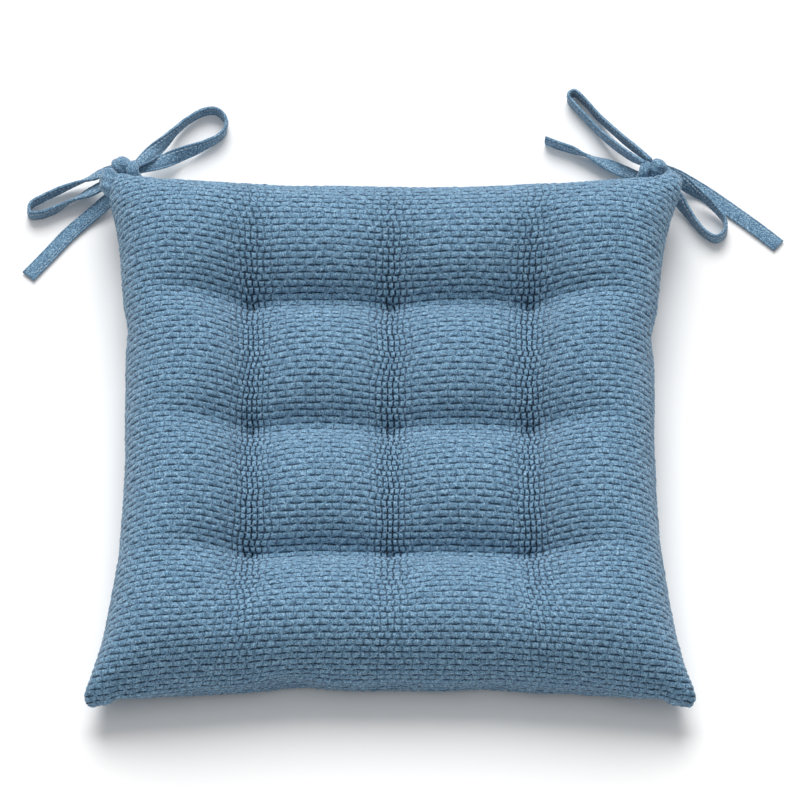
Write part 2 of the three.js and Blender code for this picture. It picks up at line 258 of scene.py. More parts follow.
def grid_faces(rows, columns, start=0, flip=False, wrap=False):
    """Quads of a grid of points, numbered row by row. wrap joins the last column to the first."""
    j, i = np.mgrid[0:rows - 1, 0:columns if wrap else columns - 1]
    right = (i + 1) % columns
    quads = np.stack([j * columns + i, j * columns + right,
                      (j + 1) * columns + right, (j + 1) * columns + i], -1).reshape(-1, 4) + start
    return (quads[:, ::-1] if flip else quads).tolist()


def tube_faces(rows, sides):
    """Faces of a closed tube of some rings of points, numbered right-handed about its direction."""
    last = (rows - 1) * sides
    ends = [list(range(sides))[::-1], list(range(last, last + sides))]
    return grid_faces(rows, sides, wrap=True) + ends


def pipe(spine, a, b, radius, sides):
    """A closed tube along a line of points, round in the directions a and b. Its radius may change along it."""
    ring = np.linspace(0, 2 * np.pi, sides, endpoint=False)
    radius = np.broadcast_to(radius, len(spine))[:, None]
    points = (spine[:, None] + a[:, None] * (np.cos(ring) * radius)[..., None]
              + b[:, None] * (np.sin(ring) * radius)[..., None])
    return points.reshape(-1, 3), tube_faces(len(spine), sides)


def rim_of(rows, columns):
    """The numbers of a grid's outer points, in order round it from its first point."""
    last_row, last_column = rows - 1, columns - 1
    places = ([(0, i) for i in range(last_column)]
              + [(j, last_column) for j in range(last_row)]
              + [(last_row, i) for i in range(last_column, 0, -1)]
              + [(j, 0) for j in range(last_row, 0, -1)])
    return [j * columns + i for j, i in places]


def join(parts):
    """The points and faces of several parts as one list of each."""
    verts, faces = [], []
    for new, quads in parts:
        start = sum(len(v) for v in verts)
        verts.append(new)
        faces += [[k + start for k in q] for q in quads]
    return np.vstack(verts), faces


def enter(piece, node):
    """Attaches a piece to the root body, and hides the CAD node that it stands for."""
    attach(piece, "root")
    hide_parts(node)


def unit(vectors):
    return vectors / np.maximum(np.linalg.norm(vectors, axis=-1, keepdims=True), 1e-12)


# ---- cloth solver ----
def spread(u, waist):
    """Place across the sewn pad, -1 to 1, of a point of the flat cover. Tufts come to their places."""
    pull = (PITCH / waist / TUFT_SHARE - 1) / (1 - TUFT_SHARE * TUFT_SHARE)
    return u * (1 + pull * (1 - u * u))


def tuft_spacing(n):
    """Grid cells between tufts on a grid of n x n points."""
    return (n - 1) * TUFT_CELLS // (2 * HALF_CELLS)


def half_width(u, v):
    """The seam's distance from the middle at the sides. v is -1 at the front and 1 at the back."""
    back = BACK_CORNER_X + np.where(u < 0, LEFT_EAR, RIGHT_EAR)
    corner = np.where(v < 0, PANEL_HIGH[0] + EAR / 2, back)
    return SIDE_WAIST + (corner - SIDE_WAIST) * np.abs(v) ** np.where(v < 0, FRONT_SWEEP, BACK_SWEEP)


def half_depth(u, v):
    """The same at the front and back. u is -1 at the left and 1 at the right."""
    corner = np.where(v < 0, CENTRE[1] - PANEL_LOW[1] + EAR, PANEL_HIGH[1] - CENTRE[1] + EAR / 2)
    waist = np.where(v < 0, FRONT_WAIST, BACK_WAIST)
    return waist + (corner - waist) * np.abs(u) ** END_SWEEP


def dips(edge, along):
    """How far an edge is drawn in at each place along it."""
    return sum(depth * MM * np.exp(-((along - place) / (width * MM)) ** 2)
               for place, depth, width in PUCKERS[edge])


def sewn_plan(n):
    """x, y and z of the cover's grid points once it is sewn and filled. z is right at the seam."""
    flat = np.linspace(-1, 1, n)
    u, v = np.meshgrid(spread(flat, SIDE_WAIST), spread(flat, (FRONT_WAIST + BACK_WAIST) / 2))
    x = u * half_width(u, v)
    y = CENTRE[1] + v * half_depth(u, v)
    edge_only, tip_only, near_corner = 5, 22, 4  # powers: the higher, the less of the cloth is moved
    drawn_x = np.where(u > 0, -dips("right", y), dips("left", y)) * np.abs(u) ** edge_only
    drawn_y = np.where(v > 0, -dips("back", x), dips("front", x)) * np.abs(v) ** edge_only
    tip = (np.abs(u) * np.abs(v)) ** tip_only
    x = x - np.sign(u) * EAR_ROUND * tip
    y = y - np.sign(v) * EAR_ROUND * tip
    corner = (np.abs(u) * np.abs(v)) ** near_corner
    z = SEAM_Z - SEAM_SAG * (1 - corner) + np.where(v > 0, BACK_LIFT, -FRONT_DROOP) * corner
    return x + drawn_x, y + drawn_y, z


def first_guess(n):
    """Both layers of the cover as low smooth pillows."""
    x, y, seam = sewn_plan(n)
    flat = np.linspace(-1, 1, n)
    cells = np.abs(flat) * HALF_CELLS
    inside = np.sin(np.pi * cells / TUFT_CELLS)
    outside = np.sin(np.pi * (cells - TUFT_CELLS) / EDGE_CELLS)
    arch = np.abs(np.where(cells < TUFT_CELLS, inside, outside)) ** 0.9
    dome = np.outer(arch, arch)
    edge = np.sqrt(np.clip(1 - np.abs(flat) ** 8, 0, 1))
    edge = np.outer(edge, edge)
    valley = np.maximum(arch[:, None], arch[None, :])
    top = seam + edge * (TUFT_TOP_Z - seam + 9 * MM * valley + 14 * MM * dome)
    bottom = seam - edge * (seam - TUFT_BOTTOM_Z + 5 * MM * valley + 8 * MM * dome)
    layers = np.stack([np.stack([x, y, top], -1), np.stack([x, y, bottom], -1)])
    bumps = rng.normal(0, 0.25 * MM, layers.shape)
    return layers + bumps


def pull_pairs(p, weight, axis, step, rest, stretch, squeeze):
    """Moves pairs of points, step apart along an axis, towards their rest distance, in disjoint sets.
    rest is one length, or one for each pair of neighbours."""
    size = p.shape[axis]
    for first in range(2 * step):
        last = range(first, size - step, 2 * step)[-1]
        a = [slice(None)] * 3
        b = [slice(None)] * 3
        a[axis] = slice(first, last + 1, 2 * step)
        b[axis] = slice(first + step, last + step + 1, 2 * step)
        length = rest if np.isscalar(rest) else rest[tuple(a[1:])]
        solve(p, weight, tuple(a), tuple(b), length, stretch, squeeze)


def pull_diagonals(p, weight, rest, stretch, squeeze):
    n = p.shape[1]
    for first in range(2):
        low = slice(first, n - 1, 2)
        high = slice(first + 1, n, 2)
        for left, right in [(slice(0, n - 1), slice(1, n)), (slice(1, n), slice(0, n - 1))]:
            solve(p, weight, (slice(None), low, left), (slice(None), high, right), rest, stretch, squeeze)


def solve(p, weight, a, b, rest, stretch, squeeze):
    apart = p[b] - p[a]
    length = np.sqrt((apart * apart).sum(-1, keepdims=True)) + 1e-9
    off = length - rest
    share = np.where(off > 0, stretch, squeeze) * off / (length * (weight[a] + weight[b] + 1e-9))
    p[a] += weight[a] * share * apart
    p[b] -= weight[b] * share * apart


def outward(p):
    """Normals of both layers, pointing out of the pad."""
    across = np.gradient(p, axis=2)
    along = np.gradient(p, axis=1)
    normal = unit(np.cross(across, along))
    normal[1] *= -1
    return normal


EDGES = [(slice(0, 1), slice(None)), (slice(-1, None), slice(None)),
         (slice(None), slice(0, 1)), (slice(None), slice(-1, None))]


def sew(p, plan, hold):
    """Joins the two layers along their edges, and draws the seam towards its plan."""
    for rows, columns in EDGES:
        seam = (p[0][rows, columns] + p[1][rows, columns]) / 2
        seam += hold * (plan[rows, columns] - seam)
        p[0][rows, columns] = seam
        p[1][rows, columns] = seam


def furrow_limits(n, pitch, furrows):
    """How far each point of a layer may stand from its tufts' level, and how firmly it is held to that.
    A furrow is the axis and the line of tufts that it follows, and its shape."""
    places = np.arange(n) - n // 2
    out = np.abs(places)
    edge = n // 2
    inside = out <= pitch
    fullness = 0.8                               # below 1, the furrow rises faster beside a tuft
    limit = np.full((n, n), 1.0)
    hold = np.zeros((n, n))
    for axis, line, (inner_rise, outer_rise, inner_hold, outer_hold, bowl) in furrows:
        between = np.abs(np.sin(np.pi * out / pitch)) ** fullness
        beyond = np.clip(2 * (out - pitch) / (edge - pitch), 0, 1) ** fullness
        rise = np.where(inside, inner_rise * between, outer_rise * beyond)
        away = (places - line * pitch) * 2 * FLAT_HALF / (n - 1) / MM
        surface = (rise[None] + bowl * away[:, None] ** 2) * MM
        fade = np.clip(1 - (out - pitch) / (edge - pitch), 0, 1) ** 2
        firmness = np.where(inside, inner_hold, outer_hold * fade)[None]
        firmness = firmness * np.exp(-bowl * away[:, None] ** 2 / 4)
        if axis:
            surface, firmness = surface.T, firmness.T
        lower = surface < limit
        limit = np.where(lower, surface, limit)
        hold = np.where(lower, firmness, hold)
    hold[[0, -1]] = 0
    hold[:, [0, -1]] = 0
    return limit, hold


def eased(n, gap):
    """Rest lengths of the cloth along x and along y, gathered at the seam to the seam's own length."""
    x, y, _ = sewn_plan(n)
    flat = np.abs(np.linspace(-1, 1, n)) ** 8
    rest_x = np.full((n, n - 1), gap * GIVE)
    rest_y = np.full((n - 1, n), gap * GIVE)
    for edge in (0, -1):
        seam_x = np.hypot(np.diff(x[edge]), np.diff(y[edge])).sum() / (n - 1)
        seam_y = np.hypot(np.diff(x[:, edge]), np.diff(y[:, edge])).sum() / (n - 1)
        side = slice(0, n // 2) if edge == 0 else slice(n // 2, n)
        rest_x[side] += (flat[side] * (min(seam_x, gap) - gap * GIVE))[:, None]
        rest_y[:, side] += (flat[side] * (min(seam_y, gap) - gap * GIVE))[None]
    return rest_x[..., None], rest_y[..., None]


def pin_tufts(p):
    """Puts both layers' tufts in their places. The result is each point's weight: 0 where it is pinned."""
    n = p.shape[1]
    pitch = tuft_spacing(n)
    weight = np.ones(p.shape[:3] + (1,))
    for layer, height in [(0, TUFT_TOP_Z), (1, TUFT_BOTTOM_Z)]:
        for row in (-1, 0, 1):
            for column in (-1, 0, 1):
                pin = (layer, n // 2 + row * pitch, n // 2 + column * pitch)
                weight[pin] = 0
                p[pin] = (CENTRE[0] + column * PITCH, CENTRE[1] + row * PITCH, height)
    return weight


def keep_inside(p):
    """Keeps the lower panel above the floor, and inside the seam."""
    np.maximum(p[1, :, :, 2], 0.2 * MM, out=p[1, :, :, 2])
    for k, axis in [(0, 1), (1, 0)]:
        low, high = (np.expand_dims(np.take(p[0, ..., k], end, axis=axis), axis) for end in (0, -1))
        p[1, ..., k] = np.clip(p[1, ..., k], low + UNDER_TUCK, high - UNDER_TUCK)
    for rows, columns in EDGES:
        p[1][rows, columns] = p[0][rows, columns]


def relax(p, steps, stiffness):
    """Lets pressure fill the cover while its cloth keeps its length. p holds two layers of n x n points.
    stiffness is how firmly the cloth resists a fold along y and along x."""
    n = p.shape[1]
    gap = 2 * FLAT_HALF / (n - 1)
    pitch = tuft_spacing(n)
    plan = np.stack(sewn_plan(n), -1)
    weight = pin_tufts(p)
    rest_x, rest_y = eased(n, gap)
    lines = (1, 0, -1)
    top_furrows = [(0, line, furrow) for line, furrow in zip(lines, (BACK_ROW, MIDDLE_ROW, FRONT_ROW))]
    top_furrows += [(1, line, COLUMN) for line in lines]
    top_limit, top_hold = furrow_limits(n, pitch, top_furrows)
    low_furrows = [(axis, line, UNDER) for axis in (0, 1) for line in lines]
    low_limit, low_hold = furrow_limits(n, pitch, low_furrows)
    push = np.array([1.0, UNDER_PRESSURE])[:, None, None, None] * PRESSURE * gap / STITCH
    before = p.copy()
    for _ in range(steps):
        motion = (p - before) * DAMPING
        before = p.copy()
        p = p + weight * (motion + push * outward(p))
        for _ in range(LOOPS):
            pull_pairs(p, weight, 1, 1, rest_y, STRETCH, SQUEEZE)
            pull_pairs(p, weight, 2, 1, rest_x, STRETCH, SQUEEZE)
            pull_diagonals(p, weight, gap * GIVE * math.sqrt(2), SHEAR, SHEAR)
            pull_pairs(p, weight, 1, 2, 2 * gap, 0.0, stiffness[0])
            pull_pairs(p, weight, 2, 2, 2 * gap, 0.0, stiffness[1])
            sew(p, plan, SEAM_HOLD)
            p[0, ..., 2] -= top_hold * np.maximum(p[0, ..., 2] - TUFT_TOP_Z - top_limit, 0)
            p[1, ..., 2] += low_hold * np.maximum(TUFT_BOTTOM_Z - low_limit - p[1, ..., 2], 0)
            keep_inside(p)
    return p


def resample(values, rows, columns):
    """Smoothly interpolates a grid of points at fractional rows and columns, by Catmull-Rom curves."""
    def weights(places, size):
        base = np.clip(np.floor(places).astype(int), 0, size - 2)
        t = (places - base)[:, None]
        w = np.hstack([-0.5 * t + t**2 - 0.5 * t**3, 1 - 2.5 * t**2 + 1.5 * t**3,
                       0.5 * t + 2 * t**2 - 1.5 * t**3, -0.5 * t**2 + 0.5 * t**3])
        matrix = np.zeros((len(places), size))
        for k in range(4):
            np.add.at(matrix, (np.arange(len(places)), np.clip(base + k - 1, 0, size - 1)), w[:, k])
        return matrix
    down = weights(rows, values.shape[0])
    across = weights(columns, values.shape[1])
    return np.einsum("ai,ijk,bj->abk", down, values, across, optimize=True)


def finer(p, n):
    places = np.linspace(0, p.shape[1] - 1, n)
    return np.stack([resample(layer, places, places) for layer in p])


def smooth(layer, share, axis):
    """Moves each point a share of its way to the middle of its neighbours along an axis."""
    lines = np.swapaxes(layer, 0, axis)
    share = np.swapaxes(share, 0, axis)[1:-1, :, None]
    lines[1:-1] += share * (lines[2:] - 2 * lines[1:-1] + lines[:-2]) / 4


def soften(p):
    """Takes small buckles out of the cloth, and rounds the furrows between columns, but not the pits."""
    n = p.shape[1]
    places = np.arange(n) - n // 2
    pitch = tuft_spacing(n)
    seam_margin, fade, pit = 6, 12, 3.0          # in grid cells
    off_line = np.min([np.abs(places - line * pitch) for line in (-1, 0, 1)], axis=0)
    from_tuft = np.hypot(off_line[:, None], off_line[None])
    free = 1 - np.exp(-(from_tuft / pit) ** 2)
    inner = np.clip((n // 2 - seam_margin - np.abs(places)) / fade, 0, 1)
    for layer in p:
        for passes, share, axis in [(FURROW_PASSES, inner[None] * free, 1), (2, free, 0), (2, free, 1)]:
            for _ in range(passes):
                smooth(layer, share, axis)
    return p


def fill_cover():
    """The filled cover: two layers of points, from a coarse solution to a fine one."""
    coarse = HALF_CELLS + 1
    fine = 2 * coarse - 1
    p = relax(first_guess(coarse), 160, (0.06, 0.10))
    bumps = rng.normal(0, 0.1 * MM, (2, fine, fine, 3))
    p = relax(finer(p, fine) + bumps, 110, (0.04, 0.10))
    return soften(p)


# ---- weave ----
def weave_height(u, v):
    """Relief of the waffle cloth at cell coordinates u across and v along: rows of rounded cells.
    A bridge of yarn crosses the furrow at every second cell, staggered from row to row."""
    in_row = np.abs(v % 1 - 0.5) * 2
    in_cell = np.abs(u % 1 - 0.5) * 2
    line = np.floor(v + 0.5)
    bridge = np.exp(-(((u + line) % 2 - 1) / BRIDGE_WIDTH) ** 2)
    from_middle = np.abs(u - COLUMNS / 2)
    from_tufts = np.minimum(from_middle, np.abs(from_middle - TUFT_COLUMN))
    pinch = np.clip(1 - from_tufts / PINCH_REACH, 0, 1) * beside_tufts(v)
    depth = GAP_DEPTH * (1 + per_cell_noise((u + line) / 2, line, 0.22))
    furrow = depth * in_row ** CELL_ROUND * (1 - 0.7 * bridge)
    slot = SLOT_DEPTH * (1 + 2.2 * pinch) * in_cell ** CELL_ROUND
    return per_cell_noise(u, v, 0.13 * MM) - furrow - slot


def beside_tufts(v):
    """1 along the rows of tufts, falling to 0 towards the front and back edges."""
    return np.clip(1 - (np.abs(v - ROWS / 2) - TUFT_ROW) / PINCH_FADE, 0, 1)


def gathered(u, v):
    """Cell coordinates with narrower cells near the lines of tufts."""
    for column in (-1, 0, 1):
        away = u - COLUMNS / 2 - column * TUFT_COLUMN
        u = u + 0.42 * away * np.exp(-(away / 4.2) ** 2) * beside_tufts(v)
    return u


def per_cell_noise(u, v, scale):
    """A random number for each cell."""
    table = rng.normal(0, scale, (ROWS + 4, COLUMNS + 4))
    row = np.clip(np.floor(v).astype(int), 0, ROWS + 3)
    column = np.clip(np.floor(u).astype(int), 0, COLUMNS + 3)
    return table[row, column]


def drift(u, v, cells, size):
    """Smooth random numbers that change over some cells."""
    rows, columns = int(ROWS / cells) + 3, int(COLUMNS / cells) + 3
    table = rng.normal(0, size, (rows, columns, 1))
    return resample(table, v / cells + 1, u / cells + 1)[..., 0]


def yarn_coordinates(u, v):
    """Cell coordinates of each point of a panel, which wander as the yarn does."""
    grid_u, grid_v = np.meshgrid(u, v)
    yarn_v = grid_v + drift(u, v, 1.7, 0.05) + drift(u, v, 7, 0.10)
    row_shift = rng.normal(0, 0.16, ROWS + 4)[np.floor(yarn_v).astype(int) + 1]
    yarn_u = gathered(grid_u, grid_v) + drift(u, v, 1.3, 0.09) + drift(u, v, 6, 0.12) + row_shift
    return yarn_u, yarn_v


def panel_relief(u, v, yarn_u, yarn_v):
    """How far each point of a panel stands off its cloth: weave, fuzz, thick corners and a turned-in edge."""
    seam_cells, ear_cells, seam_dip = 0.8, 4.5, 0.9 * MM
    relief = weave_height(yarn_u, yarn_v) + rng.normal(0, FUZZ, yarn_u.shape)
    from_side, from_end = np.meshgrid(np.minimum(u, COLUMNS - u), np.minimum(v, ROWS - v))
    seam = np.clip(np.minimum(from_side, from_end) / seam_cells, 0, 1)
    relief += EAR_PUFF * np.exp(-(from_side**2 + from_end**2) / ear_cells**2) * np.sqrt(seam)
    return relief * seam - seam_dip * (1 - seam) ** 2


def seam_allowance(rim, points, up, start):
    """A strip of cloth turned in from a panel's edge: its inner points, and its faces."""
    ring = points.reshape(-1, 3)[rim]
    inner = CENTRE + (ring - CENTRE) * np.array([0.985, 0.985, 0])
    inner[:, 2] = SEAM_Z + up * 1.2 * MM + (ring[:, 2] - SEAM_Z) * 0.8
    count = len(rim)
    faces = []
    for k in range(count):
        after = (k + 1) % count
        face = [rim[k], start + k, start + after, rim[after]]
        faces.append(face if up > 0 else face[::-1])
    return inner, faces


def store_weave(piece, uv):
    """Keeps each point's cell coordinates, by which the material paints shade into the gaps."""
    weave = piece.data.uv_layers.new(name="weave")
    index = np.zeros(len(piece.data.loops), np.int64)
    piece.data.loops.foreach_get("vertex_index", index)
    weave.data.foreach_set("uv", uv[index].ravel())


def make_panel(name, layer, up, per_cell, node, material):
    """One panel of the cover, with some points per waffle cell. up is 1 for the upper, -1 for the lower."""
    columns = COLUMNS * per_cell + 1
    rows = ROWS * per_cell + 1
    u = np.linspace(0, COLUMNS, columns)
    v = np.linspace(0, ROWS, rows)
    n = layer.shape[0]
    points = resample(layer, v / ROWS * (n - 1), u / COLUMNS * (n - 1))
    normal = unit(np.cross(np.gradient(points, axis=1), np.gradient(points, axis=0))) * up
    yarn_u, yarn_v = yarn_coordinates(u, v)
    points = points + normal * panel_relief(u, v, yarn_u, yarn_v)[..., None]
    points[..., 2] = np.maximum(points[..., 2], 0.05 * MM)
    rim = rim_of(rows, columns)
    inner, strip = seam_allowance(rim, points, up, rows * columns)
    faces = grid_faces(rows, columns, flip=up < 0) + strip
    piece = make_piece(name, np.vstack([points.reshape(-1, 3), inner]), faces, material)
    uv = np.stack([yarn_u.ravel(), yarn_v.ravel()], -1)
    store_weave(piece, np.vstack([uv, uv[rim]]))
    enter(piece, node)


# ---- straps ----
def curve(points, samples):
    """Centripetal Catmull-Rom curve through points: places and tangents at even parameters."""
    p = np.array(points, float)
    ends = np.vstack([2 * p[0] - p[1], p, 2 * p[-1] - p[-2]])
    t = np.linspace(0, len(p) - 1, samples)
    k = np.minimum(t.astype(int), len(p) - 2)
    w = (t - k)[:, None]
    p0, p1, p2, p3 = (ends[k + i] for i in range(4))
    d0, d1, d2 = (np.maximum(np.linalg.norm(b - a, axis=1, keepdims=True), 1e-9) ** 0.5
                  for a, b in [(p0, p1), (p1, p2), (p2, p3)])
    t1 = ((p1 - p0) / d0 - (p2 - p0) / (d0 + d1) + (p2 - p1) / d1) * d1
    t2 = ((p2 - p1) / d1 - (p3 - p1) / (d1 + d2) + (p3 - p2) / d2) * d1
    c2 = -3 * p1 + 3 * p2 - 2 * t1 - t2
    c3 = 2 * p1 - 2 * p2 + t1 + t2
    return p1 + t1 * w + c2 * w**2 + c3 * w**3, unit(t1 + 2 * c2 * w + 3 * c3 * w**2)


def strap_section():
    """A folded strap's section: across and out, ridged lengthwise and pressed in along its stitching."""
    turn = np.linspace(0, 2 * np.pi, 44, endpoint=False)
    across = np.sign(np.cos(turn)) * np.abs(np.cos(turn)) ** 0.55 * STRAP_WIDTH / 2
    out = np.sign(np.sin(turn)) * np.abs(np.sin(turn)) ** 0.75 * STRAP_THICKNESS / 2
    pressed = np.exp(-((np.abs(across) - STITCH_LINE) / (0.9 * MM)) ** 2)
    ridges = RIDGE * np.cos(across / RIDGE_PITCH * 2 * np.pi) * np.sign(np.round(out, 6))
    return across, out * (1 - 0.3 * pressed) + ridges


def strap_frames(route, corner, narrow_ends):
    """Centres, faces, directions across, widths and distances along a route that is measured from a corner.
    narrow_ends says which of its two ends run into the knot."""
    route = np.array(route, float)
    for end, before, into_knot in [(0, 1, narrow_ends[0]), (-1, -2, narrow_ends[1])]:
        if into_knot:
            step = route[end, :3] - route[before, :3]
            route[end, :3] += step / np.linalg.norm(step) * KNOT_BITE
    rough, _ = curve([r[:3] for r in route], 400)
    length = np.linalg.norm(np.diff(rough, axis=0), axis=1).sum() * MM
    samples = max(12, int(length / (0.8 * MM)))
    centre, along = curve([r[:3] for r in route], samples)
    t = np.linspace(0, len(route) - 1, samples)
    lean = np.radians(np.interp(t, np.arange(len(route)), [r[3] for r in route]))
    up = np.array([0, 0, 1.0])
    face = unit(up - along * (along @ up)[:, None])
    side = np.cross(along, face)
    face = face * np.cos(lean)[:, None] + side * np.sin(lean)[:, None]
    across = np.cross(face, along)
    reach = (STRAP_WIDTH * np.abs(np.sin(lean)) + STRAP_THICKNESS * np.abs(np.cos(lean))) / 2
    centre = centre * MM + corner
    centre[:, 2] = np.maximum(centre[:, 2], reach + FLOOR_GAP)
    far = np.linspace(0, length, samples)
    width = np.ones(samples)
    for end, is_narrow in [(far, narrow_ends[0]), (length - far, narrow_ends[1])]:
        if is_narrow:
            width *= 1 - KNOT_NARROWING * np.exp(-(end / NARROW_REACH) ** 2)
    return centre, face, across, width, far


def strap_mesh(frames, phase):
    """A strap's points and faces. It waves gently, from a phase of its own."""
    centre, face, across, width, far = frames
    section_a, section_b = strap_section()
    count, rows = len(section_a), len(centre)
    wave = 0.2 * MM * np.sin(far / (5.5 * MM) + phase)[:, None]
    wave = wave * np.cos(section_a / STRAP_WIDTH * 5)[None]
    fuzz = rng.normal(0, FUZZ, (rows, count))
    out = section_b[None] * (2 - width[:, None]) ** 0.6 + wave + np.sign(section_b)[None] * fuzz
    points = (centre[:, None] + across[:, None] * (section_a[None] * width[:, None])[..., None]
              + face[:, None] * out[..., None])
    return points.reshape(-1, 3), tube_faces(rows, count)


def stitch(frames, place, side):
    """One raised stitch on a strap's face, side 1 or -1: a small tube that dips in at its ends."""
    centre, face, across, width, far = frames
    beads = 5
    s = np.linspace(place - STITCH_LENGTH / 2, place + STITCH_LENGTH / 2, beads)
    spine, a, f = (np.stack([np.interp(s, far, line[:, k]) for k in range(3)], -1)
                   for line in (centre, across, face))
    a, f = unit(a), unit(f)
    arch = np.sin(np.linspace(0, np.pi, beads))
    lift = STRAP_THICKNESS / 2 * 0.72 - 0.1 * MM + 0.35 * MM * arch
    spine = spine + a * (STITCH_LINE * np.interp(s, far, width))[:, None] + f * (side * lift)[:, None]
    return pipe(spine, a, f, STITCH_RADIUS * (0.35 + 0.65 * arch), sides=6)


def make_strand(side, name, corner, cloth, thread):
    """One strand of a tie, with its top stitching. Its ends in the knot are narrower."""
    route = TIES[side][name]
    frames = strap_frames(route, corner, (name != "root", name.startswith("loop")))
    parts = [strap_mesh(frames, route[0][0])]
    if (side, name) == ("left", "root"):
        parts.append(make_lump(corner + np.array(GATHER) * MM, GATHER_RADII, 11, (0.25, 1, 0)))
    cloth_faces = sum(len(faces) for _, faces in parts)
    places = np.arange(STITCH_PITCH, frames[-1][-1] - STITCH_PITCH, STITCH_PITCH)
    parts += [stitch(frames, place, face_side) for face_side in (1, -1) for place in places]
    verts, faces = join(parts)
    piece = make_piece(f"{side}_tie_{name}_strap", verts, faces, cloth)
    piece.data.materials.append(thread)
    for polygon in piece.data.polygons[cloth_faces:]:
        polygon.material_index = 1
    enter(piece, f"{side}_tie_{name}")
    return piece, frames


def make_lump(centre, radii, folds, fold_axis):
    """A rounded wad of gathered cloth, with folds across an axis. Its radii are in millimetres."""
    rows, count = 29, 48
    lat = np.linspace(-1.5, 1.5, rows)[:, None]
    lon = np.linspace(0, 2 * np.pi, count, endpoint=False)[None]
    body = np.stack([np.cos(lat) * np.cos(lon), np.cos(lat) * np.sin(lon), np.sin(lat) + 0 * lon], -1)
    swell = 1 + 0.07 * np.cos(folds * (body @ unit(np.array(fold_axis))))
    swell = swell + rng.normal(0, 0.006, (rows, count))
    verts = centre + body * swell[..., None] * np.array(radii) * MM
    return verts.reshape(-1, 3), tube_faces(rows, count)


def wrap_band(centre, axis, across_reach, up_reach, broad):
    """A closed band of folded strap round an axis. Its sizes are in millimetres."""
    count, rows = 24, 72
    a = np.linspace(0, 2 * np.pi, rows, endpoint=False)[:, None]
    axis = unit(np.array(axis, float))
    sideways = unit(np.cross((0, 0, 1), axis))
    upward = np.cross(axis, sideways)
    radial = unit(np.cos(a) * sideways * up_reach + np.sin(a) * upward * across_reach)
    spine = centre + (np.cos(a) * sideways * across_reach + np.sin(a) * upward * up_reach) * MM
    turn = np.linspace(0, 2 * np.pi, count, endpoint=False)
    width = broad * MM * (1 + 0.10 * np.sin(2 * a + 1) + 0.04 * np.sin(5 * a))
    across = np.sign(np.cos(turn)) * np.abs(np.cos(turn)) ** 0.6
    out = np.sin(turn) * 1.2 * MM + 0.25 * MM * np.cos(across * 3 * np.pi) * np.sign(np.sin(turn))
    crown = -1.3 * MM * np.abs(across) ** 3
    fuzz = rng.normal(0, FUZZ, (rows, count))
    points = (spine[:, None] + axis * (width * across[None])[..., None]
              + radial[:, None] * (out + crown + fuzz)[..., None])
    quads = grid_faces(rows, count, wrap=True)
    quads += [[(rows - 1) * count + i, (rows - 1) * count + (i + 1) % count, (i + 1) % count, i]
              for i in range(count)]
    return points.reshape(-1, 3), quads


def make_knot(side, corner, cloth):
    """The bow's knot: a curled lump of strap beside a band that is wrapped round the strands."""
    centre = np.array(TIES[side]["knot"]) * MM + corner
    knot = KNOTS[side]
    lump, band = (centre + np.array(knot[key]) * MM for key in ("lump", "band"))
    verts, faces = join([
        make_lump(centre, (7.2, 6.4, 6.0), 5, (1, 0.4, 0)),
        make_lump(lump, knot["lump_radii"], 8, (0.5, 0.4, 0.8)),
        wrap_band(band, knot["axis"], 7.6, 8.0, knot["broad"]),
    ])
    piece = make_piece(f"{side}_tie_knot_wrap", verts, faces, cloth)
    enter(piece, f"{side}_tie_knot")
    return piece


def make_ties(cloth, thread):
    for side, sign in [("left", -1), ("right", 1)]:
        corner = np.array([sign * BACK_CORNER_X, PANEL_HIGH[1], 0])
        knot = make_knot(side, corner, cloth)
        root, _ = make_strand(side, "root", corner, cloth, thread)
        for name in list(TIES[side])[2:]:        # the free strands, after the knot and the root
            strand, frames = make_strand(side, name, corner, cloth, thread)


# ---- thread ----
def thread_along(line, radius, aside, sides=8):
    """A thread along a line of points. aside is any direction that the line doesn't take."""
    along = unit(np.gradient(line, axis=0))
    side = unit(np.cross(along, np.array(aside)))
    return pipe(line, side, np.cross(along, side), radius, sides)


def make_tufts(material):
    """Strands of thread pulled down in each pit, joined through the pad."""
    aside = (0.31, 0.17, 0.93)
    t = np.linspace(-1, 1, 9)
    for (row, column), box in TUFTS.items():
        x, y, _ = middle(box)
        parts = []
        for angle in (0.4, 1.9):
            over = np.stack([x + math.cos(angle) * t * 2.3 * MM, y + math.sin(angle) * t * 2.3 * MM,
                             TUFT_TOP_Z + 0.9 * MM - 1.6 * MM * t**4], -1)
            under = over.copy()
            under[:, 2] = TUFT_BOTTOM_Z + TUFT_TOP_Z - over[:, 2]
            parts += [thread_along(line, 0.45 * MM, aside) for line in (over, under)]
        heights = np.linspace(TUFT_BOTTOM_Z + 1.0 * MM, TUFT_TOP_Z - 1.0 * MM, 6)
        shaft = np.stack([np.full(6, x), np.full(6, y), heights], -1)
        parts.append(thread_along(shaft, 0.7 * MM, aside))
        verts, faces = join(parts)
        name = f"tuft_stitch_r{row}_c{column}"
        enter(make_piece(f"{name}_thread", verts, faces, material), name)


def seam_line(layer):
    """The seam's points in order round the pad, from the middle of the back edge and back to it."""
    n = layer.shape[0]
    rim = rim_of(n, n)[::-1]
    start = rim.index((n - 1) * n + n // 2)
    order = rim[start:] + rim[:start + 1]
    line = layer.reshape(-1, 3)[order]
    inward = np.array([CENTRE[0], CENTRE[1], 0]) - line * np.array([1, 1, 0])
    return line + unit(inward) * 3.6 * MM


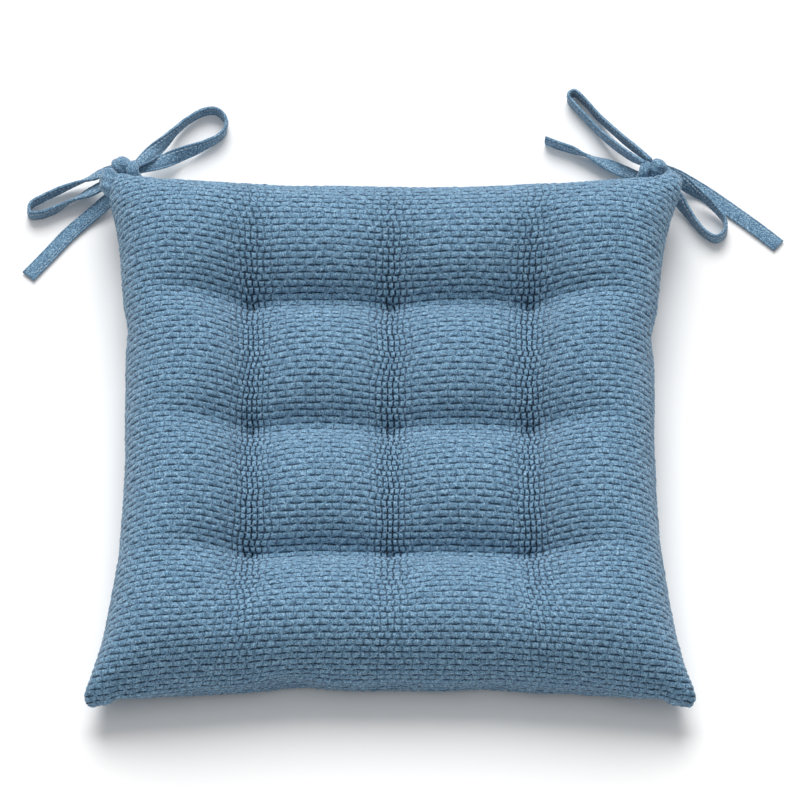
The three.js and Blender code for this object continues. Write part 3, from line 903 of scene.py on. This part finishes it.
def make_seams(layer, material):
    """The two seam threads, just inside the edge: one closes the gap that the other leaves at the back."""
    line = seam_line(layer)
    far = np.concatenate([[0], np.cumsum(np.linalg.norm(np.diff(line, axis=0), axis=1))])
    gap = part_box("closing_seam_thread")[1][0]
    apart = 1.5 * MM
    for name, node, start, stop in [
        ("edge_lockstitch", "edge_seam_thread", gap + apart, far[-1] - gap - apart),
        ("closing_stitch", "closing_seam_thread", far[-1] - gap, far[-1] + gap),
    ]:
        s = np.arange(start, stop, 0.7 * MM)
        spine = np.stack([np.interp(s % far[-1], far, line[:, k]) for k in range(3)], -1)
        spine[:, 2] += 0.35 * MM * np.sin(s / (2.8 * MM) * 2 * np.pi)
        verts, faces = thread_along(spine, 0.4 * MM, (0.03, 0.05, 1.0), sides=6)
        enter(make_piece(name, verts, faces, material), node)


# ---- materials ----
class Shader:
    """A Principled material and short ways to add nodes to it. A value is a number or a node's output."""

    def __init__(self, name, roughness, sheen=0.0):
        self.material = bpy.data.materials.new(name)
        self.material.use_nodes = True
        self.tree = self.material.node_tree
        self.shader = self.tree.nodes["Principled BSDF"]
        self.shader.inputs["Roughness"].default_value = roughness
        self.shader.inputs["Specular IOR Level"].default_value = 0.15
        self.shader.inputs["Sheen Weight"].default_value = sheen
        self.shader.inputs["Sheen Roughness"].default_value = 0.45

    def node(self, kind, **settings):
        node = self.tree.nodes.new(kind)
        for key, value in settings.items():
            setattr(node, key, value)
        return node

    def link(self, value, socket):
        if isinstance(value, bpy.types.NodeSocket):
            self.tree.links.new(value, socket)
        else:
            socket.default_value = value

    def math(self, operation, *values):
        node = self.node("ShaderNodeMath", operation=operation)
        for value, socket in zip(values, node.inputs):
            self.link(value, socket)
        return node.outputs[0]

    def apart(self, first, second):
        return self.math("ABSOLUTE", self.math("SUBTRACT", first, second))

    def noise(self, vector, scale, detail=2.0, roughness=0.6):
        node = self.node("ShaderNodeTexNoise")
        self.link(vector, node.inputs["Vector"])
        node.inputs["Scale"].default_value = scale
        node.inputs["Detail"].default_value = detail
        node.inputs["Roughness"].default_value = roughness
        return node.outputs["Fac"]

    def mix(self, share, first, second):
        node = self.node("ShaderNodeMix", data_type="RGBA")
        self.link(share, node.inputs["Factor"])
        self.link(first, node.inputs[6])
        self.link(second, node.inputs[7])
        return node.outputs[2]

    def stretch(self, value, low, high, to_low=0.0, to_high=1.0):
        node = self.node("ShaderNodeMapRange", clamp=True)
        self.link(value, node.inputs["Value"])
        for key, number in [("From Min", low), ("From Max", high), ("To Min", to_low), ("To Max", to_high)]:
            node.inputs[key].default_value = number
        return node.outputs[0]

    def bump(self, height, strength, distance):
        node = self.node("ShaderNodeBump")
        node.inputs["Strength"].default_value = strength
        node.inputs["Distance"].default_value = distance
        self.link(height, node.inputs["Height"])
        self.tree.links.new(node.outputs[0], self.shader.inputs["Normal"])


YARN = (0.166, 0.330, 0.492, 1)
STRAP_YARN = (0.120, 0.236, 0.352, 1)
FLECK_LIGHT = (0.480, 0.680, 0.840, 1)
FLECK_DARK = (0.034, 0.084, 0.155, 1)
# Painted shade: the colour mixed into the waffle's furrows and slots, where shade falls down in the gaps
PAINTED_GAP_SHADE = (0.009, 0.026, 0.055, 1)


def heathered(s, where, yarn):
    """Yarn colour with pale and dark fibres in it."""
    fine = s.noise(where, 1050, 2.0, 0.75)
    pale = s.stretch(fine, 0.50, 0.70)
    dark = s.stretch(fine, 0.48, 0.30)
    colour = s.mix(pale, yarn, FLECK_LIGHT)
    colour = s.mix(dark, colour, FLECK_DARK)
    shade = s.stretch(s.noise(where, 260, 3.0, 0.6), 0.38, 0.66, 0.0, 0.40)
    return s.mix(shade, colour, FLECK_DARK), fine


def chenille_material():
    """The cloth's colour, with painted shade: yarn that is darkened down in the gaps of the waffle, where shade
    falls.
    """
    s = Shader("raised_waffle_chenille", 0.95, sheen=0.25)
    where = s.node("ShaderNodeTexCoord").outputs["Object"]
    colour, fine = heathered(s, where, YARN)
    split = s.node("ShaderNodeSeparateXYZ")
    s.link(s.node("ShaderNodeUVMap", uv_map="weave").outputs[0], split.inputs[0])
    wobble = s.math("MULTIPLY", s.math("SUBTRACT", s.noise(where, 700, 2.0), 0.5), 0.45)
    u = s.math("ADD", split.outputs[0], wobble)
    v = s.math("ADD", split.outputs[1], wobble)
    in_row, in_cell = (s.apart(s.math("FRACT", value), 0.5) for value in (v, u))
    # Painted shade down in the furrows between rows, left lighter where yarn bridges them.
    line = s.math("FLOOR", s.math("ADD", v, 0.5))
    phase = s.math("FLOORED_MODULO", s.math("ADD", u, line), 2.0)
    bridge = s.stretch(s.apart(phase, 1.0), 0.40, 0.14, 0.0, 0.78)
    furrow = s.math("MULTIPLY", s.stretch(in_row, 0.31, 0.44), s.math("SUBTRACT", 1.0, bridge))
    # Painted shade in the slots between cells, deeper where the cloth is pinched beside the tufts.
    from_middle = s.apart(u, COLUMNS / 2)
    from_tufts = s.math("MINIMUM", from_middle, s.apart(from_middle, TUFT_COLUMN))
    past_tufts = s.math("SUBTRACT", s.apart(v, ROWS / 2), TUFT_ROW)
    beside = s.stretch(past_tufts, PINCH_FADE, 0.0)
    pinch = s.math("MULTIPLY", s.stretch(from_tufts, PINCH_REACH, 0.5, 0.0, 0.70), beside)
    strength = s.math("MULTIPLY", s.math("ADD", pinch, 0.46), s.stretch(in_row, 0.48, 0.36))
    width = s.math("ADD", in_cell, s.math("MULTIPLY", pinch, 0.10))
    slot = s.math("MULTIPLY", s.stretch(width, 0.34, 0.46), strength)
    # The painted shade of the gaps: the stronger of the two masks, mixing the yarn towards the dark gap colour.
    dark = s.math("MULTIPLY", s.math("MAXIMUM", furrow, slot), 0.92)
    s.link(s.mix(dark, colour, PAINTED_GAP_SHADE), s.shader.inputs["Base Color"])
    s.bump(fine, 0.8, 0.0008)
    return s.material


def strap_material():
    s = Shader("folded_strap_cloth", 0.95, sheen=0.35)
    where = s.node("ShaderNodeTexCoord").outputs["Object"]
    colour, fine = heathered(s, where, STRAP_YARN)
    s.link(colour, s.shader.inputs["Base Color"])
    s.bump(fine, 0.5, 0.0005)
    return s.material


def thread_material(name, colour):
    s = Shader(name, 0.75, sheen=0.1)
    where = s.node("ShaderNodeTexCoord").outputs["Object"]
    twist = s.noise(where, 2500, 1.0)
    darker = tuple(c * 0.7 for c in colour[:3]) + (1,)
    s.link(s.mix(s.stretch(twist, 0.4, 0.6), darker, colour), s.shader.inputs["Base Color"])
    s.bump(twist, 0.4, 0.0003)
    return s.material


def fibre_material():
    s = Shader("hollow_fibre", 1.0, sheen=0.5)
    where = s.node("ShaderNodeTexCoord").outputs["Object"]
    strands = s.noise(where, 300, 6.0, 0.75)
    s.link(s.mix(strands, (0.80, 0.79, 0.76, 1), (0.93, 0.93, 0.92, 1)), s.shader.inputs["Base Color"])
    s.bump(strands, 1.0, 0.003)
    return s.material


# ---- filling ----
def make_filling(layers, material):
    """The fibre, just inside the cover."""
    inset, above_seam, margin = 3.2 * MM, 0.5 * MM, 2
    points = (layers - outward(layers) * inset)[:, margin:-margin, margin:-margin]
    n = points.shape[1]
    points[0, ..., 2] = np.maximum(points[0, ..., 2], SEAM_Z + above_seam)
    points[1, ..., 2] = np.minimum(points[1, ..., 2], SEAM_Z - above_seam)
    faces = grid_faces(n, n) + grid_faces(n, n, start=n * n, flip=True)
    rim = rim_of(n, n)
    for a, b in zip(rim, rim[1:] + rim[:1]):
        faces.append([a, a + n * n, b + n * n, b])
    piece = make_piece("fibre_fill", points, faces, material)
    enter(piece, "fibre_filling")


# ---- the scene ----
bpy.context.scene.view_settings.view_transform = "Standard"
make_camera()
strap_cloth = strap_material()
stitching = thread_material("strap_stitching", (0.50, 0.64, 0.76, 1))
make_ties(strap_cloth, stitching)
make_lights()
make_floor()

layers = fill_cover()
chenille = chenille_material()
seam_thread = thread_material("seam_thread", (0.10, 0.19, 0.29, 1))
make_panel("upper_cover", layers[0], 1, 5, "top_panel", chenille)
make_panel("lower_cover", layers[1], -1, 4, "bottom_panel", chenille)
make_filling(layers, fibre_material())
make_seams(layers[0], seam_thread)
make_tufts(seam_thread)
